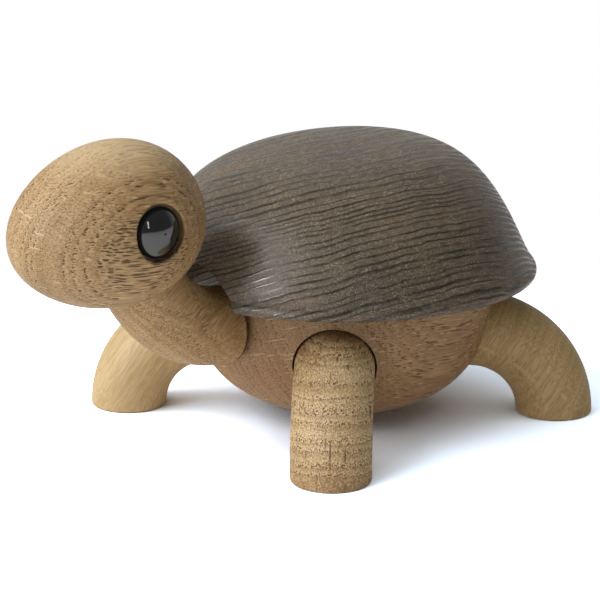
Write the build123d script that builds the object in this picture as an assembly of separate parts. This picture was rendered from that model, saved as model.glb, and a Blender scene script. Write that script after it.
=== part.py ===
"""Turtle figurine in turned oak, with limbs that turn on dowels.

The figure is drawn with its nose along +X and its left side along +Y, on a floor at Z = 0, about the
upright axis that the body was turned on. At the end it is turned to face -Y and moved so that the origin
lies at the middle of its footprint. All sizes are in millimetres and degrees.
"""

from build123d import *
import os
from math import cos, pi, radians, sin, sqrt

# Limbs, all cut from rings of one round section
limb_diameter = 25.0
leg_bend_radius = 28.0
leg_stub = 1.8
foot_edge_radius = 0.9
neck_bend_radius = 36.1
neck_bend_angle = 56.0
neck_stub = 0.7
neck_edge_radius = 1.6

# Body, a turned bowl hung between the leg hubs
body_radius = 50.0
body_drop_below_hubs = 25.5
body_rise_above_hubs = 19.2
body_fullness = 2.7
leg_spread_angle = 45.0
leg_socket_depth = 9.2
neck_seat_depth = 0.7
neck_rise_above_hubs = 10.3

# Shell, a dome with a round brim and an arch over the neck, its crown leaning towards the head
shell_overhang = 13.85
shell_height = 42.0
shell_lean = 6.7
shell_crown_ahead = 4.9
shell_edge = 2.4
shell_brim = 3.6
shell_brim_radius = 2.4
shell_lip_radius = 1.4
shell_dome_inset = 1.0
shell_crown_roundness = 0.2
shell_shoulder_power = 5.34
arch_gap = 7.5
arch_rise = 1.5
arch_behind_seat = 1.5

# Rings that the dome is drawn through, as shares of its radius at the brim
shell_dome_rings = [1.0, 0.97, 0.92, 0.84, 0.72, 0.55, 0.35, 0.18, 0.05]

# Head, an egg lying on its side, thicker behind than at the nose
head_length = 64.0
head_diameter = 49.4
head_taper = 0.13
head_pitch = 5.7
head_centre_past_bend = 27.9
head_socket_floor = 13.5

# Eyes, black domes on pegs in round recesses
eye_diameter = 15.4
eye_edge_height = 0.6
eye_dome_height = 3.2
eye_recess_diameter = 17.0
eye_recess_depth = 3.0
eye_rim_radius = 0.8
eye_rise = 1.6
eye_behind_middle = 3.0
eye_peg_diameter = 5.0
eye_peg_length = 8.0

# Dowels and the rubber sleeves that grip them
dowel_diameter = 10.0
dowel_hold = 14.0
dowel_run = 16.0
sleeve_wall = 1.2
shell_dowel_diameter = 8.0
shell_dowel_length = 24.0
shell_dowel_spacing = 56.0

# Clearances
socket_clearance = 0.7
spot_face_margin = 1.0
seat_gap = 0.2
running_clearance = 0.05
glue_gap = 0.05
end_gap = 0.5

# Steps that the curved outlines are drawn in
body_outline_steps = 10
egg_outline_steps = 6

# Places worked out from the sizes above
limb_radius = limb_diameter / 2
hub_height = leg_bend_radius
body_top = hub_height + body_rise_above_hubs
body_bottom = hub_height - body_drop_below_hubs
leg_seat = body_radius - leg_socket_depth
leg_face = leg_seat + seat_gap
leg_bend_start = leg_face + leg_stub
neck_height = hub_height + neck_rise_above_hubs
neck_seat = body_radius - neck_seat_depth
neck_face = neck_seat + seat_gap
neck_bend_start = neck_face + neck_stub
neck_turn = radians(neck_bend_angle)
neck_bend_end = Vector(
    neck_bend_start + neck_bend_radius * sin(neck_turn),
    0,
    neck_height + neck_bend_radius * (1 - cos(neck_turn)),
)
neck_end_way = Vector(cos(neck_turn), 0, sin(neck_turn))
head_centre = neck_bend_end + neck_end_way * head_centre_past_bend
head_seat = head_centre - neck_end_way * head_socket_floor
shell_radius = body_radius + shell_overhang
shell_dome_radius = shell_radius - shell_dome_inset
shell_rise = shell_height - shell_brim
arch_radius = limb_radius + arch_gap
sleeve_bore_radius = dowel_diameter / 2 + running_clearance
sleeve_radius = sleeve_bore_radius + sleeve_wall
bore_depth = dowel_run + end_gap
far = 2 * shell_radius

# The joint line of each limb: where its seat is and the way it points out of that seat
leg_seat_plane = Plane(origin=(leg_seat, 0, hub_height), x_dir=(0, 1, 0), z_dir=(1, 0, 0))
neck_seat_plane = Plane(origin=(neck_seat, 0, neck_height), x_dir=(0, 1, 0), z_dir=(1, 0, 0))
head_seat_plane = Plane(origin=head_seat, x_dir=(0, 1, 0), z_dir=-neck_end_way)
leg_angles = {
    "front_left": leg_spread_angle,
    "front_right": -leg_spread_angle,
    "rear_left": 180 - leg_spread_angle,
    "rear_right": leg_spread_angle - 180,
}


def rod(plane, radius, start, end):
    """A round bar along a plane's normal, from start to end as measured from its origin."""
    return extrude(plane.offset(start) * Circle(radius), end - start)


def dowel(plane):
    """A pin across a seat: its running end goes behind the seat, its glued end into the limb."""
    pin = rod(plane, dowel_diameter / 2, -dowel_run, seat_gap + dowel_hold)
    ends = pin.edges().filter_by(GeomType.CIRCLE)
    return chamfer(ends, end_gap)


def sleeve(plane):
    """The rubber tube that lines the bore behind a seat."""
    return rod(plane, sleeve_radius, -dowel_run, 0) - rod(plane, sleeve_bore_radius, -dowel_run, 0)


def sleeve_bore(plane):
    """The hole behind a seat that takes the sleeve."""
    return rod(plane, sleeve_radius + glue_gap, -bore_depth, end_gap)


def dowel_hole(plane):
    """The hole in the end of a limb that takes the glued end of its dowel."""
    return rod(plane, dowel_diameter / 2 + glue_gap, 0, seat_gap + dowel_hold + end_gap)


def make_leg():
    """A quarter ring with a short straight stub at the hub and a flat foot on the floor."""
    section = leg_seat_plane.offset(leg_bend_start - leg_seat) * Circle(limb_radius)
    stub = extrude(section, -leg_stub)
    bend = revolve(section, Axis((leg_bend_start, 0, hub_height - leg_bend_radius), (0, 1, 0)), 90)
    leg = stub + bend
    foot_edge = leg.edges().filter_by(GeomType.CIRCLE).sort_by(Axis.Z)[0]
    return fillet(foot_edge, foot_edge_radius) - dowel_hole(leg_seat_plane)


def make_neck():
    """A bent limb with a rounded lower edge, ending in a straight stub inside the head."""
    section = neck_seat_plane.offset(neck_bend_start - neck_seat) * Circle(limb_radius)
    foot = extrude(section, -neck_stub)
    bend_axis = Axis((neck_bend_start, 0, neck_height + neck_bend_radius), (0, -1, 0))
    bend = revolve(section, bend_axis, neck_bend_angle)
    top = rod(head_seat_plane, limb_radius, seat_gap, head_centre_past_bend - head_socket_floor)
    neck = foot + bend + top
    lower_edge = neck.edges().filter_by(GeomType.CIRCLE).sort_by(Axis.X)[0]
    return fillet(lower_edge, neck_edge_radius) - dowel_hole(neck_seat_plane) - dowel_hole(head_seat_plane)


def make_body():
    """A bowl turned to a superellipse, with a socket for each leg, a flat for the neck and pin bores."""
    depth = body_top - body_bottom
    power = 2 / body_fullness
    turns = [pi / 2 * step / body_outline_steps for step in range(body_outline_steps + 1)]
    outline = Spline(
        [(body_radius * sin(turn) ** power, 0, body_top - depth * cos(turn) ** power) for turn in turns],
        tangents=[(1, 0, 0), (0, 0, 1)],
    )
    axis_line = Line((0, 0, body_top), (0, 0, body_bottom))
    top_line = Line((body_radius, 0, body_top), (0, 0, body_top))
    body = revolve(make_face(outline + top_line + axis_line), Axis.Z)
    leg_cut = rod(leg_seat_plane, limb_radius + socket_clearance, 0, far) + sleeve_bore(leg_seat_plane)
    for angle in leg_angles.values():
        body -= Rot(0, 0, angle) * leg_cut
    body -= rod(neck_seat_plane, limb_radius + spot_face_margin, 0, far)
    body -= sleeve_bore(neck_seat_plane)
    return body - shell_dowel_holes()


def shell_pin(side, radius, length):
    """An upright pin between body and shell on one side of the axis, or the hole for it."""
    seat = Plane(origin=(0, side * shell_dowel_spacing / 2, body_top))
    return rod(seat, radius, -length / 2, length / 2)


def shell_dowel_holes():
    """The holes for the shell's pins, a little wider and deeper than the pins."""
    radius = shell_dowel_diameter / 2 + glue_gap
    length = shell_dowel_length + 2 * end_gap
    return [shell_pin(side, radius, length) for side in (-1, 1)]


def shell_ring(share):
    """One level of the dome: a circle that leans and moves ahead the higher it lies, with its seam behind."""
    crown = shell_crown_roundness * share**2
    shoulder = (1 - shell_crown_roundness) * share**shell_shoulder_power
    up = 1 - crown - shoulder
    place = Pos(shell_crown_ahead * sqrt(up), 0, body_top + shell_brim + shell_rise * up)
    return place * Rot(0, shell_lean * up, 0) * Rot(0, 0, 180) * Circle(shell_dome_radius * share)


def make_brim():
    """The disc under the dome, with a rounded lip below and a rounded edge that leads into the dome."""
    brim_top = body_top + shell_brim
    outline = Polyline(
        (0, 0, body_top),
        (-shell_radius, 0, body_top),
        (-shell_radius, 0, body_top + shell_edge),
        (-shell_dome_radius, 0, brim_top),
        (0, 0, brim_top),
        close=True,
    )
    disc = revolve(make_face(outline), Axis.Z)
    edge = disc.edges().filter_by(GeomType.CIRCLE).sort_by(Axis.Z)[1]
    disc = fillet(edge, shell_brim_radius)
    lip = disc.edges().filter_by(GeomType.CIRCLE).sort_by(Axis.Z)[0]
    return fillet(lip, shell_lip_radius)


def make_shell():
    """A dome lofted through leaning rings on a round brim, arched over the neck."""
    shell = make_brim() + loft([shell_ring(share) for share in shell_dome_rings])
    arch_plane = Plane(origin=(neck_seat, 0, neck_height + arch_rise), x_dir=(0, 1, 0), z_dir=(1, 0, 0))
    shell -= rod(arch_plane, arch_radius, -arch_behind_seat, far)
    return shell - shell_dowel_holes()


def eye_plane(side):
    """The floor of an eye's recess, facing out of the head."""
    floor = head_diameter / 2 - eye_recess_depth
    place = head_centre + Vector(-eye_behind_middle, side * floor, eye_rise)
    return Plane(origin=place, x_dir=(1, 0, 0), z_dir=(0, side, 0))


def make_eye(side):
    """A black dome with a short straight edge, on a peg that goes into the head."""
    edge = eye_diameter / 2
    outline = Polyline(
        (0, eye_edge_height + eye_dome_height),
        (0, -eye_peg_length),
        (eye_peg_diameter / 2, -eye_peg_length),
        (eye_peg_diameter / 2, 0),
        (edge, 0),
        (edge, eye_edge_height),
    )
    ball_radius = (edge**2 + eye_dome_height**2) / (2 * eye_dome_height)
    dome = RadiusArc((edge, eye_edge_height), (0, eye_edge_height + eye_dome_height), -ball_radius)
    eye = revolve(make_face(Plane.XZ * (outline + dome)), Axis.Z)
    return eye_plane(side).location * eye


def egg_curve(start, end):
    """Part of the egg's outline, with its ends given as angles from the nose."""
    turns = [start + (end - start) * step / egg_outline_steps for step in range(egg_outline_steps + 1)]
    girth = [head_diameter / 2 * sin(turn) * (1 - head_taper * cos(turn)) for turn in turns]
    return Spline([(head_length / 2 * cos(turn), 0, out) for turn, out in zip(turns, girth)])


def make_head():
    """An egg with a round recess for each eye and a socket underneath for the neck."""
    half = head_length / 2
    outline = egg_curve(0, pi / 2) + egg_curve(pi / 2, pi)
    egg = revolve(make_face(outline + Line((-half, 0, 0), (half, 0, 0))), Axis.X)
    head = Pos(head_centre) * Rot(0, head_pitch, 0) * egg
    for side in (-1, 1):
        floor = eye_plane(side)
        head -= rod(floor, eye_recess_diameter / 2, 0, head_diameter)
        wall = head.faces().filter_by(GeomType.CYLINDER).sort_by(Axis.Y)[-1 if side > 0 else 0]
        rim = [edge for edge in wall.edges() if edge.geom_type not in (GeomType.LINE, GeomType.CIRCLE)]
        head = fillet(rim, eye_rim_radius)
        head -= rod(floor, eye_peg_diameter / 2 + glue_gap, -eye_peg_length - end_gap, end_gap)
    head -= rod(head_seat_plane, limb_radius + socket_clearance, 0, head_diameter)
    return head - sleeve_bore(head_seat_plane)


nodes = {
    "body": make_body(),
    "shell": make_shell(),
    "left_shell_dowel": shell_pin(1, shell_dowel_diameter / 2, shell_dowel_length),
    "right_shell_dowel": shell_pin(-1, shell_dowel_diameter / 2, shell_dowel_length),
    "neck": make_neck(),
    "neck_dowel": dowel(neck_seat_plane),
    "neck_sleeve": sleeve(neck_seat_plane),
    "head": make_head(),
    "head_dowel": dowel(head_seat_plane),
    "head_sleeve": sleeve(head_seat_plane),
    "left_eye": make_eye(1),
    "right_eye": make_eye(-1),
}
leg_pieces = {"leg": make_leg(), "leg_dowel": dowel(leg_seat_plane), "leg_sleeve": sleeve(leg_seat_plane)}
for corner, angle in leg_angles.items():
    for name, piece in leg_pieces.items():
        nodes[f"{corner}_{name}"] = Rot(0, 0, angle) * piece

# Turn the figure to face -Y and put the origin at the middle of its footprint
reach = Compound(list(nodes.values())).bounding_box()
middle = reach.center()
to_frame = Rot(0, 0, -90) * Pos(-middle.X, -middle.Y, 0)

os.makedirs("parts", exist_ok=True)
for name, piece in nodes.items():
    export_step(to_frame * piece, f"parts/{name}.step")

print("origin lies", round(middle.X, 4), "ahead of the turning axis; whole size", reach.size)
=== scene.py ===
from math import cos, radians, sin

import bpy
from mathutils import Matrix, Vector


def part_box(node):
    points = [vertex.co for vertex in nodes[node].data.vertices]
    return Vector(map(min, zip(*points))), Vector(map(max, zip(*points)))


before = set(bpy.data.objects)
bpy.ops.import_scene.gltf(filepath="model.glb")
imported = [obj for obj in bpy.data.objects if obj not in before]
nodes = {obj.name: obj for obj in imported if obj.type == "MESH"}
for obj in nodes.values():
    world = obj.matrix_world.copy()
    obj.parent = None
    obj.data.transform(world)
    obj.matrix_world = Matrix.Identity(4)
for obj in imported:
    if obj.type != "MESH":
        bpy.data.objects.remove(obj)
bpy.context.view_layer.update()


# ---- Body ----
# The body is a bowl turned from one block of oak, with its fibres lying from front to back, sanded and oiled.
# Its front therefore shows end grain, with pale rays that cross the growth rings, and its flanks show long grain.

def linear(hex_colour):
    """Gives an sRGB hex colour as the linear colour that a socket takes."""
    parts = [int(hex_colour[i:i + 2], 16) / 255 for i in (1, 3, 5)]
    return (*(c / 12.92 if c <= 0.04045 else ((c + 0.055) / 1.055) ** 2.4 for c in parts), 1.0)


def add(tree, kind, inputs, out=0, **settings):
    """Adds a node with its settings, fills or links its inputs, and gives one of its outputs."""
    made = tree.nodes.new("ShaderNode" + kind)
    for name, value in settings.items():
        setattr(made, name, value)
    for name, value in inputs.items():
        if isinstance(value, bpy.types.NodeSocket):
            tree.links.new(value, made.inputs[name])
        else:
            made.inputs[name].default_value = value
    return made.outputs[out] if len(made.outputs) else made


def new_finish(name):
    """Starts a material with an empty node tree."""
    finish = bpy.data.materials.new(name)
    finish.use_nodes = True
    finish.node_tree.nodes.clear()
    return finish, finish.node_tree


def give(finish, *pieces):
    for piece in pieces:
        slots = nodes[piece].data.materials
        slots.clear()
        slots.append(finish)


def plank(tree, piece, fibres, outward, heart_mm):
    """Gives millimetres in a piece's plank: x leads away from the tree's heart, and z along the fibres."""
    along = Vector(fibres).normalized()
    away = Vector(outward)
    away = (away - along * away.dot(along)).normalized()
    low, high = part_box(piece)
    turn = Matrix((away, along.cross(away), along)).transposed().to_euler()
    place = {"Location": (low + high) / 2 - away * heart_mm / 1000, "Rotation": turn, "Scale": (0.001,) * 3}
    return add(tree, "Mapping", {"Vector": add(tree, "TexCoord", {}, "Object"), **place}, vector_type="TEXTURE")


def oak_grain(tree, spot, ring_mm, waver_mm, pore_mm, ray_mm, spring, summer, pore, ray, pores, rays):
    """Draws ring-porous oak: growth rings, rows of open pores where each year begins, rays and fine fibres.

    Sizes are in millimetres across the rings, round them and along the fibres. Real pores are about 0.3 mm, too fine
    to show, so they are drawn about twice as coarse. Gives the colour, the relief and the pores."""
    grain = add(tree, "VectorMath", {0: spot, 1: (1 / 30, 1 / 30, 1 / 80)}, operation="MULTIPLY")
    sway = add(tree, "TexNoise", {"Vector": grain, "Scale": 1.0, "Detail": 2.0}, "Color")
    sway = add(tree, "VectorMath", {0: sway, 1: (0.5, 0.5, 0.5)}, operation="SUBTRACT")
    bent = add(tree, "VectorMath", {0: sway, 1: (2 * waver_mm, 2 * waver_mm, 0), 2: spot}, operation="MULTIPLY_ADD")
    flat = add(tree, "VectorMath", {0: bent, 1: (1, 1, 0)}, operation="MULTIPLY")
    radius = add(tree, "VectorMath", {0: flat}, "Value", operation="LENGTH")
    age = add(tree, "Math", {0: radius, 1: ring_mm}, operation="DIVIDE")
    fast = add(tree, "TexNoise", {"W": age, "Scale": 0.55, "Detail": 1.0}, "Fac", noise_dimensions="1D")
    age = add(tree, "Math", {0: fast, 1: 2.4, 2: age}, operation="MULTIPLY_ADD")
    year = add(tree, "Math", {0: age}, operation="FRACT")
    early = add(tree, "MapRange", {"Value": year, "From Min": 0.08, "From Max": 0.5, "To Min": 1.0, "To Max": 0.0},
                interpolation_type="SMOOTHSTEP")
    late = add(tree, "MapRange", {"Value": year, "From Min": 0.3, "From Max": 0.98}, interpolation_type="SMOOTHSTEP")

    grain = add(tree, "VectorMath", {0: spot, 1: (1 / 3, 1 / 3, 1 / 14)}, operation="MULTIPLY")
    drift = add(tree, "TexNoise", {"Vector": grain, "Scale": 1.0, "Detail": 1.0}, "Color")
    tube = add(tree, "VectorMath", {0: bent, 1: (1 / pore_mm, 1 / pore_mm, 1)}, operation="MULTIPLY")
    tube = add(tree, "VectorMath", {0: drift, 1: (0.8, 0.8, 0), 2: tube}, operation="MULTIPLY_ADD")
    cell = add(tree, "TexVoronoi", {"Vector": tube, "Scale": 1.0}, "Distance", voronoi_dimensions="2D")
    size = add(tree, "Math", {0: early, 1: 0.24, 2: 0.18}, operation="MULTIPLY_ADD")
    hole = add(tree, "Math", {0: size, 1: cell}, operation="SUBTRACT")
    hole = add(tree, "Math", {0: hole, 1: 9.0}, operation="MULTIPLY", use_clamp=True)
    grain = add(tree, "VectorMath", {0: spot, 1: (1 / 0.9, 1 / 0.9, 1 / 5)}, operation="MULTIPLY")
    broken = add(tree, "TexNoise", {"Vector": grain, "Scale": 1.0, "Detail": 1.0}, "Fac")
    broken = add(tree, "MapRange", {"Value": broken, "From Min": 0.36, "From Max": 0.54, "To Max": pores})
    hole = add(tree, "Math", {0: hole, 1: broken}, operation="MULTIPLY")

    around = add(tree, "SeparateXYZ", {0: spot}, "Y")
    along = add(tree, "SeparateXYZ", {0: spot}, "Z")
    ribbon = add(tree, "CombineXYZ", {0: around, 1: along})
    ribbon = add(tree, "VectorMath", {0: ribbon, 1: (1 / ray_mm, 1 / 9, 1)}, operation="MULTIPLY")
    ribbon = add(tree, "TexVoronoi", {"Vector": ribbon, "Scale": 1.0}, "Distance", voronoi_dimensions="2D")
    fleck = add(tree, "Math", {0: 0.16, 1: ribbon}, operation="SUBTRACT")
    fleck = add(tree, "Math", {0: fleck, 1: 12.0}, operation="MULTIPLY", use_clamp=True)
    grain = add(tree, "VectorMath", {0: spot, 1: (1 / 9, 1 / 2, 1 / 6)}, operation="MULTIPLY")
    length = add(tree, "TexNoise", {"Vector": grain, "Scale": 1.0, "Detail": 1.0}, "Fac")
    length = add(tree, "MapRange", {"Value": length, "From Min": 0.46, "From Max": 0.58, "To Max": rays})
    fleck = add(tree, "Math", {0: fleck, 1: length}, operation="MULTIPLY")

    grain = add(tree, "VectorMath", {0: spot, 1: (1 / 0.5, 1 / 0.5, 1 / 9)}, operation="MULTIPLY")
    fibre = add(tree, "TexNoise", {"Vector": grain, "Scale": 1.0, "Detail": 4.0,
                                   "Roughness": 0.6}, "Fac")
    grain = add(tree, "VectorMath", {0: spot, 1: (1 / 16, 1 / 16, 1 / 40)}, operation="MULTIPLY")
    cloud = add(tree, "TexNoise", {"Vector": grain, "Scale": 1.0, "Detail": 3.0}, "Fac")
    tone = add(tree, "Math", {0: late, 1: 0.3, 2: -1.3}, operation="MULTIPLY_ADD")
    tone = add(tree, "Math", {0: fibre, 1: 2.5, 2: tone}, operation="MULTIPLY_ADD")
    tone = add(tree, "Math", {0: cloud, 1: 0.9, 2: tone}, operation="MULTIPLY_ADD", use_clamp=True)
    colour = add(tree, "Mix", {0: tone, 6: linear(spring), 7: linear(summer)}, 2, data_type="RGBA")
    colour = add(tree, "Mix", {0: fleck, 6: colour, 7: linear(ray)}, 2, data_type="RGBA")
    colour = add(tree, "Mix", {0: hole, 6: colour, 7: linear(pore)}, 2, data_type="RGBA")

    relief = add(tree, "Math", {0: late, 1: 0.2, 2: fibre}, operation="MULTIPLY_ADD")
    relief = add(tree, "Math", {0: hole, 1: -0.9, 2: relief}, operation="MULTIPLY_ADD")
    return colour, relief, hole


def oiled(tree, colour, relief, hole):
    """Sanded and oiled wood: a soft sheen on the fibres, and open pores that stay dull."""
    dull = add(tree, "Math", {0: hole, 1: 0.25, 2: 0.52}, operation="MULTIPLY_ADD", use_clamp=True)
    bump = add(tree, "Bump", {"Height": relief, "Strength": 1.0, "Distance": 0.0002})
    shader = add(tree, "BsdfPrincipled", {"Base Color": colour, "Roughness": dull, "IOR": 1.5, "Normal": bump})
    add(tree, "OutputMaterial", {"Surface": shader})


finish, tree = new_finish("oiled_oak_body")
spot = plank(tree, "body", fibres=(0.05, -1, 0.05), outward=(1, 0, 0.3), heart_mm=120)
oiled(tree, *oak_grain(tree, spot, ring_mm=3.2, waver_mm=2.5, pore_mm=0.8, ray_mm=1.5, spring="#b38d60",
                       summer="#88643e", pore="#573d28", ray="#cfae84", pores=0.75, rays=0.75))
give(finish, "body")


# ---- Sleeves ----
# Short rubber tubes glued into the bores of the body and the head. They rub on the dowels, so that a limb stays
# where it is turned, and none of them shows once the figurine is together.

bloom_mm = 1.1
finish, tree = new_finish("sleeve_rubber")
here = add(tree, "TexCoord", {}, "Object")
bloom = add(tree, "TexNoise", {"Vector": here, "Scale": 1000 / bloom_mm, "Detail": 2.0}, "Fac")
shade = add(tree, "Mix", {0: bloom, 6: linear("#2a2826"), 7: linear("#3a3836")}, 2, data_type="RGBA")
bump = add(tree, "Bump", {"Height": bloom, "Strength": 0.4, "Distance": 0.00005})
shader = add(tree, "BsdfPrincipled", {"Base Color": shade, "Roughness": 0.7, "Normal": bump})
add(tree, "OutputMaterial", {"Surface": shader})
corners = ["front_left", "front_right", "rear_left", "rear_right"]
give(finish, "neck_sleeve", "head_sleeve", *(corner + "_leg_sleeve" for corner in corners))


# ---- Dowels ----
# Turned beech pins. Each is glued into a limb and turns in a sleeve, and two more hold the shell on the body.
# Beech is pale and even, with short brown flecks.

fleck_mm, tone_mm = 0.9, 6.0
finish, tree = new_finish("beech")
here = add(tree, "TexCoord", {}, "Object")
fleck = add(tree, "TexVoronoi", {"Vector": here, "Scale": 1000 / fleck_mm}, "Distance")
fleck = add(tree, "MapRange", {"Value": fleck, "From Min": 0.12, "From Max": 0.25, "To Min": 0.5, "To Max": 0.0})
tone = add(tree, "TexNoise", {"Vector": here, "Scale": 1000 / tone_mm, "Detail": 3.0}, "Fac")
shade = add(tree, "Mix", {0: tone, 6: linear("#d2ab84"), 7: linear("#bd9068")}, 2, data_type="RGBA")
shade = add(tree, "Mix", {0: fleck, 6: shade, 7: linear("#8a5f3f")}, 2, data_type="RGBA")
bump = add(tree, "Bump", {"Height": tone, "Strength": 0.3, "Distance": 0.00005})
shader = add(tree, "BsdfPrincipled", {"Base Color": shade, "Roughness": 0.55, "Normal": bump})
add(tree, "OutputMaterial", {"Surface": shader})
give(finish, "neck_dowel", "head_dowel", "left_shell_dowel", "right_shell_dowel",
     *(corner + "_leg_dowel" for corner in corners))


# ---- Legs ----
# Four quarter rings of round oak, each cut from its own board, so that they differ in colour, in how open the pores
# are and in how the fibres lean. On the front left leg they point straight out, and its face is speckled end grain.

boards = {
    "front_left": dict(spring="#e2c697", summer="#967040", pore="#5c4122", ray="#684a26", pores=0.95, rays=0.9),
    "front_right": dict(spring="#cab082", summer="#ae905f", pore="#8a6b40", ray="#e3cda0", pores=0.25, rays=0.2),
    "rear_left": dict(spring="#cfb07b", summer="#a5854f", pore="#75552f", ray="#dac08f", pores=0.35, rays=0.3),
    "rear_right": dict(spring="#c6a775", summer="#9e7c4c", pore="#6b5030", ray="#d4ba8a", pores=0.5, rays=0.3),
}
leans = {"front_left": 4, "front_right": -55, "rear_left": 58, "rear_right": -20}
for corner, board in boards.items():
    finish, tree = new_finish(f"oiled_oak_{corner}_leg")
    side = Vector((1 if "left" in corner else -1, -1 if "front" in corner else 1, 0)).normalized()
    lean = radians(leans[corner])
    spot = plank(tree, corner + "_leg", fibres=side * cos(lean) + Vector((0, 0, sin(lean))),
                 outward=Vector((0, 0, cos(lean))) - side * sin(lean), heart_mm=70)
    oiled(tree, *oak_grain(tree, spot, ring_mm=3.6, waver_mm=2.6, pore_mm=0.6, ray_mm=2.4, **board))
    give(finish, corner + "_leg")


# ---- Neck ----
# A bent round limb of oak that rises from the front of the body into the head. Its fibres run down through the
# bend, so its front shows speckled end grain. Its rounded edge at the body is painted dark as shade in the seam.

finish, tree = new_finish("oiled_oak_neck")
spot = plank(tree, "neck", fibres=(0.25, -0.85, -0.45), outward=(0.8, 0.3, 0.4), heart_mm=60)
colour, relief, hole = oak_grain(tree, spot, ring_mm=3.4, waver_mm=2.0, pore_mm=0.5, ray_mm=2.4, spring="#caa876",
                                 summer="#957144", pore="#684a28", ray="#d8ba85", pores=0.7, rays=0.4)
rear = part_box("neck")[1].y
# Painted shade: the neck is darkened along its rounded edge next to the body, as the seam's shadow.
painted_seam_shade = add(tree, "SeparateXYZ", {0: add(tree, "TexCoord", {}, "Object")}, "Y")
painted_seam_shade = add(tree, "MapRange", {"Value": painted_seam_shade, "From Min": rear - 0.002, "From Max": rear - 0.0015, "To Max": 0.85})
colour = add(tree, "Mix", {0: painted_seam_shade, 6: colour, 7: linear("#1c140b")}, 2, data_type="RGBA")
oiled(tree, colour, relief, hole)
give(finish, "neck")


# ---- Head ----
# An egg turned from oak that lies along the fibres, so its growth rings show as nested ovals on the cheek and as
# rows of pores at the nose. Its crown is painted paler as light, and each eye's recess is painted dark as shade.

finish, tree = new_finish("oiled_oak_head")
spot = plank(tree, "head", fibres=(-0.12, -0.99, 0.06), outward=(0.98, -0.12, -0.15), heart_mm=65)
colour, relief, hole = oak_grain(tree, spot, ring_mm=3.1, waver_mm=1.6, pore_mm=0.62, ray_mm=2.4, spring="#c4a374",
                                 summer="#916e42", pore="#553c20", ray="#dcc191", pores=0.95, rays=0.6)
here = add(tree, "TexCoord", {}, "Object")
# Painted light: towards the crown the colour is mixed paler with height, as if lit from above.
top_light_from, top_light_to = 0.094, 0.1015
painted_top_light = add(tree, "SeparateXYZ", {0: here}, "Z")
painted_top_light = add(tree, "MapRange", {"Value": painted_top_light, "From Min": top_light_from, "From Max": top_light_to, "To Max": 0.5})
colour = add(tree, "Mix", {0: painted_top_light, 6: colour, 7: linear("#e3cc9f")}, 2, data_type="RGBA")
low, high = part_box("left_eye")
gap = add(tree, "VectorMath", {0: here, 1: (low + high) / 2}, operation="SUBTRACT")
gap = add(tree, "VectorMath", {0: gap, 1: (0, 1000, 1000)}, operation="MULTIPLY")
gap = add(tree, "VectorMath", {0: gap}, "Value", operation="LENGTH")
# Painted shade: the wall of each eye's recess, 8.3 to 8.8 mm from the eye's axis, is darkened as shade.
recess_mm, clear_mm = 8.3, 8.8
painted_recess_shade = add(tree, "MapRange", {"Value": gap, "From Min": recess_mm, "From Max": clear_mm, "To Min": 0.75,
                               "To Max": 0.0})
colour = add(tree, "Mix", {0: painted_recess_shade, 6: colour, 7: linear("#3a2e20")}, 2, data_type="RGBA")
oiled(tree, colour, relief, hole)
give(finish, "head")


# ---- Eyes ----
# Domes of black lacquered wood on short pegs, glued into the recesses. The lacquer is glossy, with a faint
# orange-peel that softens what it mirrors, and thins out to dull stain at the edge.

peel_mm = 2.4
finish, tree = new_finish("black_lacquer")
here = add(tree, "TexCoord", {}, "Object")
peel = add(tree, "TexNoise", {"Vector": here, "Scale": 1000 / peel_mm, "Detail": 1.0}, "Fac")
gap = add(tree, "VectorMath", {0: here, 1: (low + high) / 2}, operation="SUBTRACT")
gap = add(tree, "VectorMath", {0: gap, 1: (0, 1000, 1000)}, operation="MULTIPLY")
gap = add(tree, "VectorMath", {0: gap}, "Value", operation="LENGTH")
gloss_mm, dull_mm = 6.7, 7.0
rough = add(tree, "MapRange", {"Value": gap, "From Min": gloss_mm, "From Max": dull_mm, "To Min": 0.09, "To Max": 0.6})
shine = add(tree, "MapRange", {"Value": gap, "From Min": gloss_mm, "From Max": dull_mm, "To Min": 1.0, "To Max": 0.1})
shade = add(tree, "MapRange", {"Value": peel, "From Min": 0.3, "From Max": 0.7, "To Min": 0.003, "To Max": 0.005})
bump = add(tree, "Bump", {"Height": peel, "Strength": 0.25, "Distance": 0.00006})
shader = add(tree, "BsdfPrincipled", {"Base Color": shade, "Roughness": rough, "Specular IOR Level": shine, "IOR": 1.6,
                                      "Normal": bump})
add(tree, "OutputMaterial", {"Surface": shader})
give(finish, "left_eye", "right_eye")


# ---- Shell ----
# A dome of oak, brushed along the grain until the soft spring wood lies below the hard summer wood, stained dark
# grey-brown and waxed. The ridges keep a smooth satin, and the furrows are rough and speckled.

finish, tree = new_finish("stained_oak")
spot = plank(tree, "shell", fibres=(0.1, -1, 0.08), outward=(-0.4, 0.0, 0.915), heart_mm=0)
grain = add(tree, "VectorMath", {0: spot, 1: (1 / 60, 1 / 26, 1 / 26)}, operation="MULTIPLY")
sway = add(tree, "TexNoise", {"Vector": grain, "Scale": 1.0, "Detail": 3.0}, "Fac")
level = add(tree, "SeparateXYZ", {0: spot}, "X")
level = add(tree, "Math", {0: sway, 1: 5.0, 2: level}, operation="MULTIPLY_ADD")
slow = add(tree, "MapRange", {"Value": level, "From Min": -12.0, "From Max": 0.0, "To Max": 2.2},
           interpolation_type="SMOOTHSTEP")
ring_mm = 2.25
age = add(tree, "Math", {0: level, 1: 1 / ring_mm, 2: slow}, operation="MULTIPLY_ADD")
fast = add(tree, "TexNoise", {"W": age, "Scale": 0.7, "Detail": 1.0}, "Fac", noise_dimensions="1D")
age = add(tree, "Math", {0: fast, 1: 1.3, 2: age}, operation="MULTIPLY_ADD")
year = add(tree, "Math", {0: age}, operation="FRACT")
ridge = add(tree, "Math", {0: year, 1: 0.5}, operation="SUBTRACT")
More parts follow.
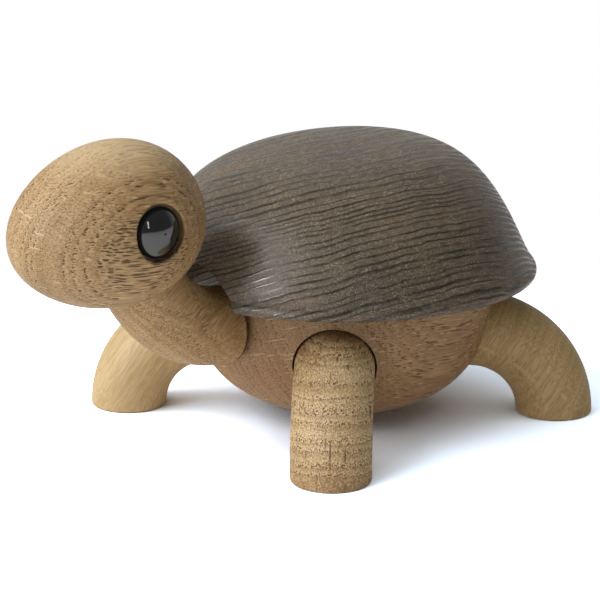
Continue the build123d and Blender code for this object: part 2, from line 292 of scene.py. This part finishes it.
ridge = add(tree, "Math", {0: ridge}, operation="ABSOLUTE")
ridge = add(tree, "MapRange", {"Value": ridge, "From Min": 0.03, "From Max": 0.32, "To Min": 1.0, "To Max": 0.0},
            interpolation_type="SMOOTHSTEP")
grain = add(tree, "VectorMath", {0: spot, 1: (1 / 2.2, 1 / 9, 1 / 14)}, operation="MULTIPLY")
worn = add(tree, "TexNoise", {"Vector": grain, "Scale": 1.0, "Detail": 3.0}, "Fac")
worn = add(tree, "MapRange", {"Value": worn, "From Min": 0.32, "From Max": 0.62, "To Min": 0.25, "To Max": 1.0})
ridge = add(tree, "Math", {0: ridge, 1: worn}, operation="MULTIPLY")
grain = add(tree, "VectorMath", {0: spot, 1: (1 / 0.5, 1 / 0.5, 1 / 0.8)}, operation="MULTIPLY")
grit = add(tree, "TexVoronoi", {"Vector": grain, "Scale": 1.0}, "Distance")
speck = add(tree, "MapRange", {"Value": grit, "From Min": 0.12, "From Max": 0.42, "To Min": 1.0, "To Max": 0.0})
furrow = add(tree, "Math", {0: 1.0, 1: ridge}, operation="SUBTRACT")
speck = add(tree, "Math", {0: speck, 1: furrow}, operation="MULTIPLY")
grain = add(tree, "VectorMath", {0: spot, 1: (1 / 1.6, 1 / 1.6, 1 / 4)}, operation="MULTIPLY")
rare = add(tree, "TexNoise", {"Vector": grain, "Scale": 1.0, "Detail": 2.0}, "Fac")
rare = add(tree, "MapRange", {"Value": rare, "From Min": 0.34, "From Max": 0.58, "To Max": 0.9})
speck = add(tree, "Math", {0: speck, 1: rare}, operation="MULTIPLY")
grain = add(tree, "VectorMath", {0: spot, 1: (1 / 0.45, 1 / 0.6, 1 / 12)}, operation="MULTIPLY")
fibre = add(tree, "TexNoise", {"Vector": grain, "Scale": 1.0, "Detail": 3.0}, "Fac")
grain = add(tree, "VectorMath", {0: spot, 1: (1 / 24, 1 / 24, 1 / 50)}, operation="MULTIPLY")
cloud = add(tree, "TexNoise", {"Vector": grain, "Scale": 1.0, "Detail": 2.0}, "Fac")
tone = add(tree, "Math", {0: fibre, 1: 2.2, 2: cloud}, operation="MULTIPLY_ADD")
tone = add(tree, "Math", {0: tone, 1: 1.15}, operation="SUBTRACT", use_clamp=True)
low_wood = add(tree, "Mix", {0: tone, 6: linear("#766754"), 7: linear("#3b342a")}, 2, data_type="RGBA")
high_wood = add(tree, "Mix", {0: tone, 6: linear("#3c3931"), 7: linear("#1f1e1a")}, 2, data_type="RGBA")
colour = add(tree, "Mix", {0: ridge, 6: low_wood, 7: high_wood}, 2, data_type="RGBA")
colour = add(tree, "Mix", {0: speck, 6: colour, 7: linear("#b3a084")}, 2, data_type="RGBA")
relief = add(tree, "Math", {0: fibre, 1: 0.12, 2: ridge}, operation="MULTIPLY_ADD")
relief = add(tree, "Math", {0: speck, 1: -0.3, 2: relief}, operation="MULTIPLY_ADD")
rough = add(tree, "MapRange", {"Value": ridge, "From Max": 0.5, "To Min": 0.5, "To Max": 0.24})
bump = add(tree, "Bump", {"Height": relief, "Strength": 0.8, "Distance": 0.0001})
shader = add(tree, "BsdfPrincipled", {"Base Color": colour, "Roughness": rough, "IOR": 1.47, "Normal": bump})
add(tree, "OutputMaterial", {"Surface": shader})
give(finish, "shell")


# ---- Floor and light ----
# A white sweep of paper, a large soft lamp high on the left and a dim room behind the camera. The paper glows
# to plain white away from the figurine. Nearer, its colour is painted darker where it sees least sky, as painted
# shade.

finish, tree = new_finish("white_paper")
path = add(tree, "LightPath", {}, "Is Camera Ray")
here = add(tree, "TexCoord", {}, "Object")
away = add(tree, "VectorMath", {0: here}, "Value", operation="LENGTH")
fade = add(tree, "MapRange", {"Value": away, "From Min": 0.1, "From Max": 0.24}, interpolation_type="SMOOTHSTEP")
fade = add(tree, "Math", {0: fade, 1: path}, operation="MULTIPLY")
# Painted shade: for the camera, the paper's colour is scaled from 0.65 where ambient occlusion finds little sky up to
# 2.6.
open_sky = add(tree, "AmbientOcclusion", {"Distance": 0.07}, "AO", samples=8)
seen = add(tree, "MapRange", {"Value": open_sky, "From Min": 0.1, "From Max": 0.38, "To Min": 0.65, "To Max": 2.6})
seen = add(tree, "VectorMath", {0: (0.88, 1.02, 1.2), "Scale": seen}, operation="SCALE")
seen = add(tree, "Mix", {0: path, 6: (0.9, 0.9, 0.9, 1), 7: seen}, 2, data_type="RGBA")
paper = add(tree, "BsdfDiffuse", {"Color": seen})
# Painted bounce light: the paper glows faintly for every ray but the camera's, which brightens the figurine's
# underside.
lift = add(tree, "MapRange", {"Value": path, "To Min": 0.1, "To Max": 0.0})
paper = add(tree, "AddShader", {0: paper, 1: add(tree, "Emission", {"Strength": lift})})
glow = add(tree, "Emission", {"Strength": 1.0})
mixed = add(tree, "MixShader", {0: fade, 1: paper, 2: glow})
add(tree, "OutputMaterial", {"Surface": mixed})
sweep = bpy.data.meshes.new("paper_sweep")
sweep.from_pydata([(-4, -4, -0.0001), (4, -4, -0.0001), (4, 4, -0.0001), (-4, 4, -0.0001)], [], [(0, 1, 2, 3)])
sweep.materials.append(finish)
floor = bpy.data.objects.new("paper_sweep", sweep)
bpy.context.scene.collection.objects.link(floor)

world = bpy.data.worlds.new("studio_room")
bpy.context.scene.world = world
world.use_nodes = True
tree = world.node_tree
tree.nodes.clear()
way = add(tree, "TexCoord", {}, "Generated")
height = add(tree, "VectorMath", {0: way, 1: (-0.466, -0.523, 0.714)}, "Value", operation="DOT_PRODUCT")
ceiling = add(tree, "MapRange", {"Value": height, "From Min": 0.1, "To Min": 0.08, "To Max": 1.0})
front = add(tree, "VectorMath", {0: way, 1: (0.746, -0.665, 0)}, "Value", operation="DOT_PRODUCT")
front = add(tree, "MapRange", {"Value": front, "To Max": 0.07})
ceiling = add(tree, "Math", {0: ceiling, 1: front}, operation="ADD")
# The room that shiny faces mirror is dimmer than the white that the camera sees, or the black eyes would turn white.
behind = add(tree, "VectorMath", {0: way, 1: (-0.746, 0.665, 0)}, "Value", operation="DOT_PRODUCT")
mirrored = add(tree, "MapRange", {"Value": behind, "From Min": 0.2, "From Max": 0.8, "To Min": 0.13, "To Max": 0.55},
               interpolation_type="SMOOTHSTEP")
glossy = add(tree, "LightPath", {}, "Is Glossy Ray")
through = add(tree, "LightPath", {}, "Is Transmission Ray")
shiny = add(tree, "Math", {0: glossy, 1: through}, operation="MAXIMUM")
level = add(tree, "Mix", {0: shiny, 2: ceiling, 3: mirrored}, 0, data_type="FLOAT")
seen = add(tree, "LightPath", {}, "Is Camera Ray")
level = add(tree, "Mix", {0: seen, 2: level, 3: 1.0}, 0, data_type="FLOAT")
add(tree, "OutputWorld", {"Surface": add(tree, "Background", {"Color": (1, 1, 1, 1), "Strength": level})})

# Each lamp: degrees round from the front, degrees up, width and height in metres, watts. The low lamp and the strip
# light sheen alone: one gives the glint on the shell's brow and the other the streak in the eye.
aim = Vector((-0.009, 0.022, 0.0365))
camera_turn, lamp_distance = 48.3, 1.3
lamps = {
    "soft_lamp": (camera_turn - 68, 38, 1.3, 0.8, 14.5),
    "low_lamp": (camera_turn - 43, 17, 0.25, 0.25, 8.0),
    "strip_lamp": (camera_turn + 20, 24, 0.03, 0.45, 0.45),
}
for name, (turn, lift, width, tall, power) in lamps.items():
    lamp = bpy.data.lights.new(name, "AREA")
    lamp.shape, lamp.size, lamp.size_y, lamp.energy = "RECTANGLE", width, tall, power
    stand = bpy.data.objects.new(name, lamp)
    bpy.context.scene.collection.objects.link(stand)
    turn, lift = radians(turn), radians(lift)
    way = Vector((sin(turn) * cos(lift), -cos(turn) * cos(lift), sin(lift)))
    stand.location = aim + way * lamp_distance
    stand.visible_diffuse = name == "soft_lamp"
    stand.rotation_euler = way.to_track_quat("Z", "Y").to_euler()


# ---- Camera ----
# A long lens at the front left of the figurine and a little above it, which is the photograph's viewing angle. It
# has no depth of field and no shift.

lens = bpy.data.cameras.new("camera")
lens.lens, lens.sensor_width, lens.clip_start = 134.1, 36.0, 0.01
camera = bpy.data.objects.new("camera", lens)
bpy.context.scene.collection.objects.link(camera)
camera.location = (0.5193, -0.4492, 0.2372)
camera.rotation_euler = (camera.location - aim).to_track_quat("Z", "Y").to_euler()
bpy.context.scene.camera = camera
bpy.context.scene.view_settings.view_transform = "Standard"
